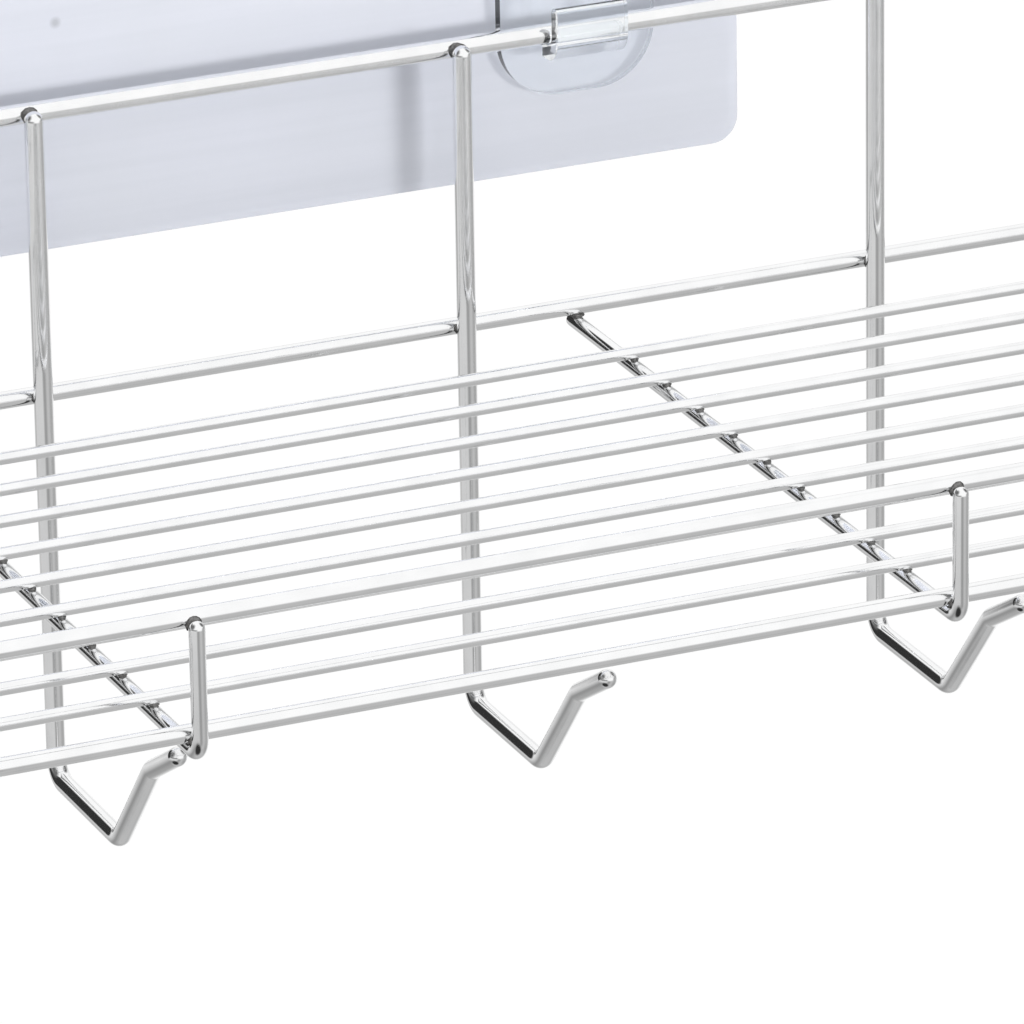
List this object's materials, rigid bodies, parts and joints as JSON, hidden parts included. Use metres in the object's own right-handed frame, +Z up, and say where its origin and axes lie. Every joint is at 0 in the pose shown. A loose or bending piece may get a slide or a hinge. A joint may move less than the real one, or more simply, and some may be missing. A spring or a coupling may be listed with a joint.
{
  "type": "wall spice rack",
  "caption": "Bright wire tray for spice jars with utensil hooks below it, hung by its top rail from clear moulded hooks on adhesive film wall pads.",
  "frame": {"origin": "on the wall plane, midway along the rack, at the height of the top rail's axis", "axes": "+X along the wall to the right as seen from the room, +Y into the wall, +Z up; the tray stands out from the wall towards -Y"},
  "size_m": [0.52, 0.1326, 0.1389],
  "materials": {
    "steel_wire": "bright polished stainless wire, faint lengthwise drawing lines, small weld marks where wires cross",
    "film": "pale blue-grey translucent film, glossy, slightly rippled",
    "adhesive": "soft translucent adhesive layer with a few trapped bubbles",
    "clear_plastic": "clear glossy moulded plastic with rounded edges"
  },
  "bodies": {
    "wall_pads": {"pad_adhesive_left": "adhesive", "pad_film_left": "film", "clear_hook_left_outer": "clear_plastic", "clear_hook_left_inner": "clear_plastic", "pad_adhesive_right": "adhesive", "pad_film_right": "film", "clear_hook_right_outer": "clear_plastic", "clear_hook_right_inner": "clear_plastic"},
    "rack": {"shelf_rim": "steel_wire", "back_top_rail": "steel_wire", "guard_rail": "steel_wire", "shelf_wire_1": "steel_wire", "shelf_wire_2": "steel_wire", "shelf_wire_3": "steel_wire", "shelf_wire_4": "steel_wire", "shelf_wire_5": "steel_wire", "shelf_wire_6": "steel_wire", "shelf_wire_7": "steel_wire", "shelf_wire_8": "steel_wire", "shelf_wire_9": "steel_wire", "cross_wire_1": "steel_wire", "cross_wire_2": "steel_wire", "cross_wire_3": "steel_wire", "cross_wire_4": "steel_wire", "cross_wire_5": "steel_wire", "hook_wire_1": "steel_wire", "hook_wire_2": "steel_wire", "hook_wire_3": "steel_wire", "hook_wire_4": "steel_wire", "hook_wire_5": "steel_wire", "hook_wire_6": "steel_wire", "hook_wire_7": "steel_wire"}
  },
  "joints": [
    {"name": "rack_lift", "type": "slide", "parent": "wall_pads", "child": "rack", "axis": [0, 0, 1], "range_m": [0, 0.02]}
  ]
}
